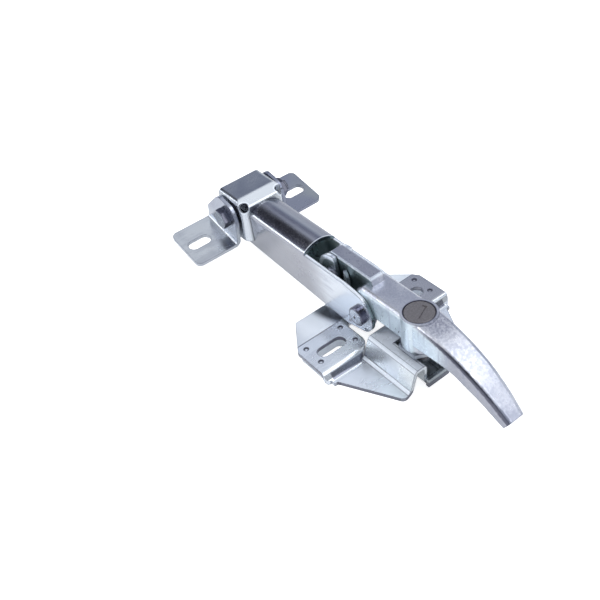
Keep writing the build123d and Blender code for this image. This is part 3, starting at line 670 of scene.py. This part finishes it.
class LATCH_OT_base(bpy.types.Operator):
    """Finishes the base bracket, its backing plates and the pivot pin"""
    bl_idname = "latch.base"
    bl_label = "Base bracket"

    def execute(self, context):
        finish = context.scene.latch_finish
        dress(["base_bracket"],
              plated_sheet(finish, "zinc_base_sheet", 1, darkness=0.25, gloss=0.17, metal=0.80,
                           local=base_local))
        dress(["near_backing_plate", "far_backing_plate"],
              plated_sheet(finish, "zinc_backing", 0, darkness=0.1, gloss=0.4, metal=0.2))
        dress(["base_pivot_pin"],
              plated_sheet(finish, "zinc_pin", 1, gloss=0.20, local=turned_local))
        return {"FINISHED"}


class LATCH_OT_arm(bpy.types.Operator):
    """Finishes the folded arm, the hinge cap and the link rivets"""
    bl_idname = "latch.arm"
    bl_label = "Arm and cap"

    def execute(self, context):
        finish = context.scene.latch_finish
        dress(["arm_channel"],
              plated_sheet(finish, "zinc_arm_sheet", 0, darkness=0.45, gloss=0.17, local=arm_local))
        # Tone factors darken the cap and, a little, the rivets: painted shade
        dress(["hinge_cap"],
              plated_sheet(finish, "zinc_cap_sheet", 1, darkness=0.5, gloss=0.18, shade_tone=0.62, local=cap_local))
        dress(["near_link_rivet", "far_link_rivet"],
              plated_sheet(finish, "zinc_rivet", 2, gloss=0.20, shade_tone=0.9, local=rivet_local))
        return {"FINISHED"}


class LATCH_OT_handle(bpy.types.Operator):
    """Finishes the cast handle"""
    bl_idname = "latch.handle"
    bl_label = "Handle"

    def execute(self, context):
        dress(["handle"], plated_casting(context.scene.latch_finish, "zinc_casting"))
        return {"FINISHED"}


class LATCH_OT_lock(bpy.types.Operator):
    """Finishes the lock's barrel, nut, plug and cam"""
    bl_idname = "latch.lock"
    bl_label = "Lock"

    def execute(self, context):
        finish = context.scene.latch_finish
        dress(["lock_plug"], lock_metal(finish, "lock_face_metal"))
        # The tone factor darkens the barrel, nut, cam and screw: painted shade
        dress(["lock_barrel", "lock_nut", "lock_cam", "cam_screw"],
              plated_sheet(finish, "zinc_lock_parts", 2, gloss=0.28, shade_tone=0.55))
        return {"FINISHED"}


class LATCH_OT_keeper(bpy.types.Operator):
    """Finishes the keeper's feet, hinge bolt, nut, sleeve and washers"""
    bl_idname = "latch.keeper"
    bl_label = "Keeper"

    def execute(self, context):
        finish = context.scene.latch_finish
        # Tone factors darken the feet and the fasteners: painted shade; the far foot is a shaded copy in the
        # stain colour
        dress(["near_keeper_foot"],
              plated_sheet(finish, "zinc_near_foot", 1, gloss=0.18, shade_tone=0.70, local=foot_local))
        dress(["far_keeper_foot"],
              plated_sheet(finish, "zinc_far_foot_shaded", 1, gloss=0.18, shade_tone=0.75, colour=finish.stain_and_shade_colour))
        dress(["hinge_bolt", "hinge_nut", "hinge_sleeve", "near_hinge_washer", "far_hinge_washer"],
              plated_sheet(finish, "zinc_fasteners", 1, darkness=0.6, gloss=0.18, shade_tone=0.62,
                           local=turned_local))
        return {"FINISHED"}


# Thread ridge: steps in a turn, turns over which it fades, the part of a step that its tip starts with so
# that the tip isn't flat, and half of its foot as a share of the pitch
TURN_STEPS = 36
FADE_TURNS = 0.25
TIP_STEP = 0.25
FOOT_SHARE = 0.42


def helical_ridge(name, axis_place, start, end, sizes):
    """A closed triangular ridge that winds from start to end along Y round (x, z), fading at both ends."""
    steps = int(TURN_STEPS * (end - start - sizes.pitch) / sizes.pitch)
    foot = FOOT_SHARE * sizes.pitch
    fade_steps = FADE_TURNS * TURN_STEPS
    places = []
    faces = [(0, 1, 2), (3 * steps + 2, 3 * steps + 1, 3 * steps)]
    for step in range(steps + 1):
        angle = 2 * math.pi * step / TURN_STEPS
        centre = start + sizes.pitch * (0.5 + step / TURN_STEPS)
        from_end = min(step, steps - step) + TIP_STEP
        crest = sizes.root + (sizes.crest - sizes.root) * min(1.0, from_end / fade_steps)
        for radius, shift in ((sizes.root, -foot), (crest, 0.0), (sizes.root, foot)):
            places.append((axis_place[0] + radius * math.sin(angle), centre + shift,
                           axis_place[1] + radius * math.cos(angle)))
        if step:
            here = 3 * step
            faces += [(here - 3 + i, here + i, here + (i + 1) % 3, here - 3 + (i + 1) % 3) for i in range(3)]
    mesh = bpy.data.meshes.new(name)
    mesh.from_pydata(places, [], faces)
    mesh.update()
    ridge = bpy.data.objects.new(name, mesh)
    bpy.context.scene.collection.objects.link(ridge)
    return ridge


class LATCH_OT_thread(bpy.types.Operator):
    """Winds the thread on the hinge bolt's end past the nut"""
    bl_idname = "latch.thread"
    bl_label = "Bolt thread"

    def execute(self, context):
        finish = context.scene.latch_finish
        low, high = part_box("hinge_bolt")
        nut_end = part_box("hinge_nut")[1][1]
        axis_place = ((low[0] + high[0]) / 2, (low[2] + high[2]) / 2)
        ridge = helical_ridge("bolt_thread", axis_place, nut_end, high[1], context.scene.latch_thread)
        # The tone factor darkens the thread: painted shade, as on the fasteners
        ridge.data.materials.append(plated_sheet(finish, "zinc_thread", 1, gloss=0.22, shade_tone=0.6))
        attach(ridge, "keeper")
        return {"FINISHED"}


# Room light by the sine of the height above the horizon, as (sine, colour)
ROOM_BANDS = (
    (0.00, (0.95, 0.97, 1.00, 1.0)),
    (0.36, (0.90, 0.95, 1.00, 1.0)),
    (0.45, (0.50, 0.56, 0.68, 1.0)),
    (0.54, (0.15, 0.17, 0.26, 1.0)),
    (0.63, (0.19, 0.20, 0.29, 1.0)),
    (0.70, (0.70, 0.75, 0.87, 1.0)),
    (0.85, (0.95, 0.97, 1.00, 1.0)),
    (1.00, (1.00, 1.00, 1.00, 1.0)),
)
# Dark patches of the room, as (direction, cosine at the rim, cosine at the full dark, how dark)
DARK_PATCHES = (
    ((-0.66, -0.12, 0.74), 0.925, 0.985, 0.90),
    ((0.15, -0.60, 0.79), 0.80, 0.95, 0.90),
    ((0.92, 0.39, 0.04), 0.90, 0.98, 0.80),
)
# Lamps as (name, place, size, share of the lamp power), and the place that they face
LAMPS = (
    ("overhead", (0.35, 0.35, 1.15), (0.7, 0.7), 0.85),
    ("right", (0.95, 0.45, 0.75), (0.3, 0.9), 0.6),
    ("fill", (-0.32, -0.56, 1.12), (0.5, 0.5), 1.0),
    ("near", (-0.90, -0.87, 0.62), (0.5, 0.3), 0.65),
)
LAMP_TARGET = (0.0, 0.0, 0.03)
# Floor: its distance below the latch, its colour, its glow to the camera, and how much of that the metal sees
FLOOR_GAP = 0.0003
FLOOR_COLOUR = (0.86, 0.86, 0.86, 1.0)
FLOOR_GLOW = 0.78
FLOOR_IN_METAL = 0.35
WHITE = (1.0, 1.0, 1.0, 1.0)


def lamp(name, place, size, power):
    """A rectangular soft lamp that faces the latch."""
    data = bpy.data.lights.new(name, "AREA")
    data.shape = "RECTANGLE"
    data.size, data.size_y = size
    data.energy = power
    lit = bpy.data.objects.new(name, data)
    bpy.context.scene.collection.objects.link(lit)
    lit.location = place
    lit.rotation_euler = (Vector(LAMP_TARGET) - Vector(place)).to_track_quat("-Z", "Y").to_euler()
    return lit


def room_world(name, level):
    """Room light in bands by height, with three dark patches; white to the camera."""
    world = bpy.data.worlds.new(name)
    world.use_nodes = True
    made = NodeTree(world.node_tree, "ShaderNodeOutputWorld", "Generated")
    _, _, height = made.parts(made.place)
    sky = made.node("ShaderNodeValToRGB", {"stops": ROOM_BANDS}, {"Fac": height})
    shade = 1.0
    for direction, rim, full, dark in DARK_PATCHES:
        shade = (1.0 - made.ramp(made.agreement(made.place, direction), rim, full) * dark) * shade
    room = made.node("ShaderNodeBackground", {}, {"Color": sky, "Strength": shade * level})
    white = made.node("ShaderNodeBackground", {}, {"Color": WHITE, "Strength": 1.0})
    camera = made.node("ShaderNodeLightPath", {}, {}, "Is Camera Ray")
    through = made.node("ShaderNodeLightPath", {}, {}, "Is Transmission Ray")
    made.connect(made.node("ShaderNodeMixShader", {}, {0: (camera + through).clamped(), 1: room, 2: white}))
    return world


def white_floor(name):
    """White floor that glows to the camera and a little in the metal, and takes a soft shadow."""
    made = Finish(name)
    camera = made.node("ShaderNodeLightPath", {}, {}, "Is Camera Ray")
    glossy = made.node("ShaderNodeLightPath", {}, {}, "Is Glossy Ray")
    through = made.node("ShaderNodeLightPath", {}, {}, "Is Transmission Ray")
    seen = (camera + through + glossy * FLOOR_IN_METAL).clamped()
    paint = made.node("ShaderNodeBsdfDiffuse", {}, {"Color": FLOOR_COLOUR})
    glow = made.node("ShaderNodeEmission", {}, {"Color": WHITE, "Strength": FLOOR_GLOW})
    both = made.node("ShaderNodeAddShader", {}, {0: paint, 1: glow})
    made.connect(made.node("ShaderNodeMixShader", {}, {0: seen, 1: paint, 2: both}))
    return made.material


def lay_floor(size):
    """A square floor just under the latch, which isn't part of it."""
    half = size / 2
    level = CAD_BOX[0][2] - FLOOR_GAP
    mesh = bpy.data.meshes.new("floor")
    mesh.from_pydata([(-half, -half, level), (half, -half, level), (half, half, level), (-half, half, level)],
                     [], [(0, 1, 2, 3)])
    mesh.materials.append(white_floor("floor_white"))
    floor = bpy.data.objects.new("floor", mesh)
    bpy.context.scene.collection.objects.link(floor)


def set_camera(stage):
    """The camera that the photograph was taken with, as far as it could be fitted."""
    data = bpy.data.cameras.new("camera")
    data.sensor_fit = "HORIZONTAL"
    data.sensor_width = 36.0
    data.lens = stage.lens
    data.clip_start = 0.01
    data.clip_end = 60.0
    camera = bpy.data.objects.new("camera", data)
    bpy.context.scene.collection.objects.link(camera)
    ahead = Vector(stage.look).normalized()
    right = ahead.cross(Vector(stage.head_up)).normalized()
    up = right.cross(ahead)
    turn = Matrix((right, up, -ahead)).transposed().to_4x4()
    camera.matrix_world = Matrix.Translation(Vector(stage.eye)) @ turn
    bpy.context.scene.camera = camera


class LATCH_OT_stage(bpy.types.Operator):
    """Sets the floor, the lamps, the room's light and the camera"""
    bl_idname = "latch.stage"
    bl_label = "Stage"

    def execute(self, context):
        stage = context.scene.latch_stage
        lay_floor(stage.floor_size)
        for name, place, size, share in LAMPS:
            lamp(name, place, size, stage.key_power * share)
        context.scene.world = room_world("room", stage.sky_level)
        set_camera(stage)
        context.scene.view_settings.view_transform = "Standard"
        return {"FINISHED"}


class LATCH_PT_panel(bpy.types.Panel):
    """Lists the latch's colours, sizes and steps"""
    bl_idname = "LATCH_PT_panel"
    bl_label = "Hood latch"
    bl_space_type = "VIEW_3D"
    bl_region_type = "UI"
    bl_category = "Hood latch"

    def draw(self, context):
        scene = context.scene
        for settings in (scene.latch_finish, scene.latch_thread, scene.latch_stage):
            for key in type(settings).__annotations__:
                self.layout.prop(settings, key)
        for step in STEPS:
            self.layout.operator(step.bl_idname)


STEPS = (LATCH_OT_base, LATCH_OT_arm, LATCH_OT_handle, LATCH_OT_lock, LATCH_OT_keeper, LATCH_OT_thread,
         LATCH_OT_stage)
CLASSES = (LatchFinish, LatchThread, LatchStage) + STEPS + (LATCH_PT_panel,)


def register():
    for made in CLASSES:
        bpy.utils.register_class(made)
    bpy.types.Scene.latch_finish = bpy.props.PointerProperty(type=LatchFinish)
    bpy.types.Scene.latch_thread = bpy.props.PointerProperty(type=LatchThread)
    bpy.types.Scene.latch_stage = bpy.props.PointerProperty(type=LatchStage)


def unregister():
    del bpy.types.Scene.latch_stage
    del bpy.types.Scene.latch_thread
    del bpy.types.Scene.latch_finish
    for made in reversed(CLASSES):
        bpy.utils.unregister_class(made)


def main():
    register()
    bpy.ops.latch.base()
    bpy.ops.latch.arm()
    bpy.ops.latch.handle()
    bpy.ops.latch.lock()
    bpy.ops.latch.keeper()
    bpy.ops.latch.thread()
    bpy.ops.latch.stage()


if __name__ == "__main__":
    main()
